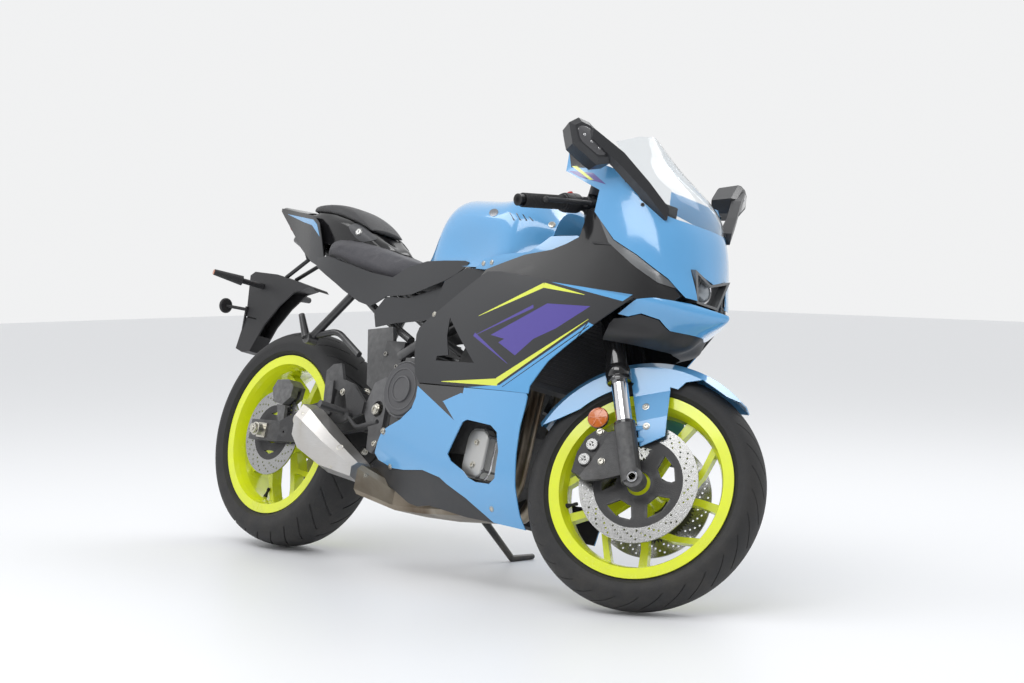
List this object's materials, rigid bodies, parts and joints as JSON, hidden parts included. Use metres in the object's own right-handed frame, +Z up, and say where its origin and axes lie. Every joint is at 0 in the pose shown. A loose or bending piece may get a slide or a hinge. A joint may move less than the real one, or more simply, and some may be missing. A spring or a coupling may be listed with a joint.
{
  "type": "sport motorcycle",
  "caption": "Faired middleweight sport motorcycle leaning on its side stand, bars turned left, with steering, both wheels and the stand free to move.",
  "frame": {"origin": "centre of the bounding box's bottom, on the ground under the parked motorcycle", "axes": "+X towards the front along the motorcycle, +Y to the rider's left, the side it leans to, +Z up"},
  "size_m": [2.071, 0.783, 1.1923],
  "materials": {
    "tyre": "ribbed and worn matt",
    "rim_yellow": "gloss fluorescent yellow paint",
    "disc_steel": "ground",
    "sprocket_steel": "dull",
    "axle_steel": "zinc plated",
    "fork_chrome": "hard chrome",
    "fork_upper": "black anodised",
    "cast_black": "satin black paint",
    "caliper": "black hard coat",
    "frame_black": "satin black paint",
    "engine_black": "satin crackle black",
    "radiator": "matt black",
    "exhaust_steel": "heat stained",
    "silencer": "satin stainless look",
    "shock": "satin black",
    "controls": "rubber and black plastic",
    "paint_blue": "gloss paint",
    "tank_blue": "gloss paint",
    "dark_plastic": "fine grained black",
    "filler": "satin black",
    "screen": "clear acrylic",
    "lamp": "polished lenses",
    "seat": "grained vinyl"
  },
  "bodies": {
    "chassis": {"belly_pan": "dark_plastic", "chain": "sprocket_steel", "chin_lip": "dark_plastic", "cylinder_head": "engine_black", "engine_case": "engine_black", "engine_covers": "engine_black", "exhaust_box": "silencer", "exhaust_headers": "exhaust_steel", "filler_cap": "filler", "foot_hanger_left": "cast_black", "foot_hanger_right": "cast_black", "fuel_tank": "tank_blue", "headlamps": "lamp", "inner_cowl": "dark_plastic", "instrument": "dark_plastic", "lower_cowl_left": "paint_blue", "lower_cowl_right": "paint_blue", "main_frame": "frame_black", "mirror_left": "dark_plastic", "mirror_right": "dark_plastic", "nose_cowl": "paint_blue", "passenger_hangers": "frame_black", "pivot_axle": "axle_steel", "pivot_covers": "dark_plastic", "plate_bracket": "dark_plastic", "radiator": "radiator", "rear_axle": "axle_steel", "rear_caliper": "caliper", "rear_hump": "seat", "rear_lights": "lamp", "rear_shock": "shock", "rider_seat": "seat", "seat_panels": "dark_plastic", "side_panel_left": "paint_blue", "side_panel_right": "paint_blue", "silencer": "silencer", "swingarm": "cast_black", "tail_cowl": "paint_blue", "tail_frame": "frame_black", "tank_covers": "tank_blue", "upper_panels": "paint_blue", "windscreen": "screen"},
    "steering": {"fork_feet": "cast_black", "fork_inner_tubes": "fork_chrome", "fork_upper_tubes": "fork_upper", "front_axle": "axle_steel", "front_calipers": "caliper", "front_fender": "paint_blue", "handlebar_left": "controls", "handlebar_right": "controls", "yokes": "cast_black"},
    "front_wheel": {"front_disc_left": "disc_steel", "front_disc_right": "disc_steel", "front_rim": "rim_yellow", "front_tyre": "tyre"},
    "rear_wheel": {"rear_disc": "disc_steel", "rear_rim": "rim_yellow", "rear_sprocket": "sprocket_steel", "rear_tyre": "tyre"},
    "side_stand": {"side_stand": "frame_black"}
  },
  "joints": [
    {"name": "steering_turn", "type": "hinge", "parent": "chassis", "child": "steering", "pos_m": [0.72383, -0.14603, 0.27404], "axis": [-0.3968, 0.2347, 0.8874], "range_deg": [-53.74, 0]},
    {"name": "front_wheel_spin", "type": "hinge", "parent": "steering", "child": "front_wheel", "pos_m": [0.75492, -0.12594, 0.28263], "axis": [-0.416, 0.8157, -0.4018], "continuous": true},
    {"name": "rear_wheel_spin", "type": "hinge", "parent": "chassis", "child": "rear_wheel", "pos_m": [-0.63619, -0.13827, 0.31038], "axis": [-0.0013, 0.9666, -0.2563], "continuous": true},
    {"name": "side_stand_fold", "type": "hinge", "parent": "chassis", "child": "side_stand", "pos_m": [-0.04674, -0.0187, 0.20421], "axis": [0.1799, 0.7975, 0.5758], "range_deg": [0, 95]}
  ]
}
